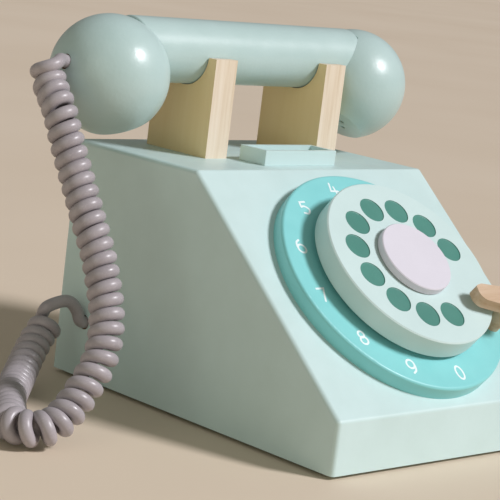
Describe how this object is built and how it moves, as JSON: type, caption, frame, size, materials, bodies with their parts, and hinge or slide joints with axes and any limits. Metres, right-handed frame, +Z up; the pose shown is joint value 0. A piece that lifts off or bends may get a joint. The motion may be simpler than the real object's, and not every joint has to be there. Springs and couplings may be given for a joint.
{
  "type": "wooden toy telephone",
  "caption": "Painted wooden toy telephone: a box with a sloping face, a turning finger dial, a lift-off handset on two cradle boards and a curly cord.",
  "frame": {"origin": "centre of the underside, on the surface that the telephone stands on", "axes": "+X to the right of someone facing the dial, +Y to the back, +Z up"},
  "size_m": [0.2487, 0.1666, 0.1555],
  "materials": {
    "mint_paint": "satin paint",
    "turquoise_paint": "satin paint",
    "white_paint": "satin paint",
    "plain_wood": "bare, sanded",
    "felt": "felt",
    "steel": "zinc plated",
    "cord": "satin"
  },
  "bodies": {
    "base": {"left_side_panel": "mint_paint", "right_side_panel": "mint_paint", "front_panel": "mint_paint", "dial_panel": "mint_paint", "top_panel": "mint_paint", "back_panel": "mint_paint", "bottom_panel": "plain_wood", "corner_blocks": "plain_wood", "bottom_screws": "steel", "felt_base": "felt", "left_cradle": "plain_wood", "right_cradle": "plain_wood", "cradle_dowels": "plain_wood", "card_tray": "mint_paint", "number_plate": "turquoise_paint", "plate_pins": "plain_wood", "finger_stop_post": "plain_wood", "finger_stop_bar": "plain_wood", "cord": "cord", "cord_tail": "cord", "cord_clamp": "plain_wood"},
    "dial": {"finger_wheel": "mint_paint", "centre_cap": "white_paint", "hub_spacer": "plain_wood", "dial_spindle": "plain_wood", "retaining_washer": "steel", "retaining_screw": "steel"},
    "handset": {"handset_handle": "mint_paint", "mouth_ball": "mint_paint", "ear_ball": "mint_paint", "handle_pins": "plain_wood", "ball_cord_plug": "plain_wood"}
  },
  "joints": [
    {"name": "dial_spin", "type": "hinge", "parent": "base", "child": "dial", "pos_m": [0, -0.03864, 0.05987], "axis": [0, -0.6443, 0.7648], "continuous": true},
    {"name": "handset_lift", "type": "slide", "parent": "base", "child": "handset", "axis": [0, 0, 1], "range_m": [0, 0.1]}
  ]
}
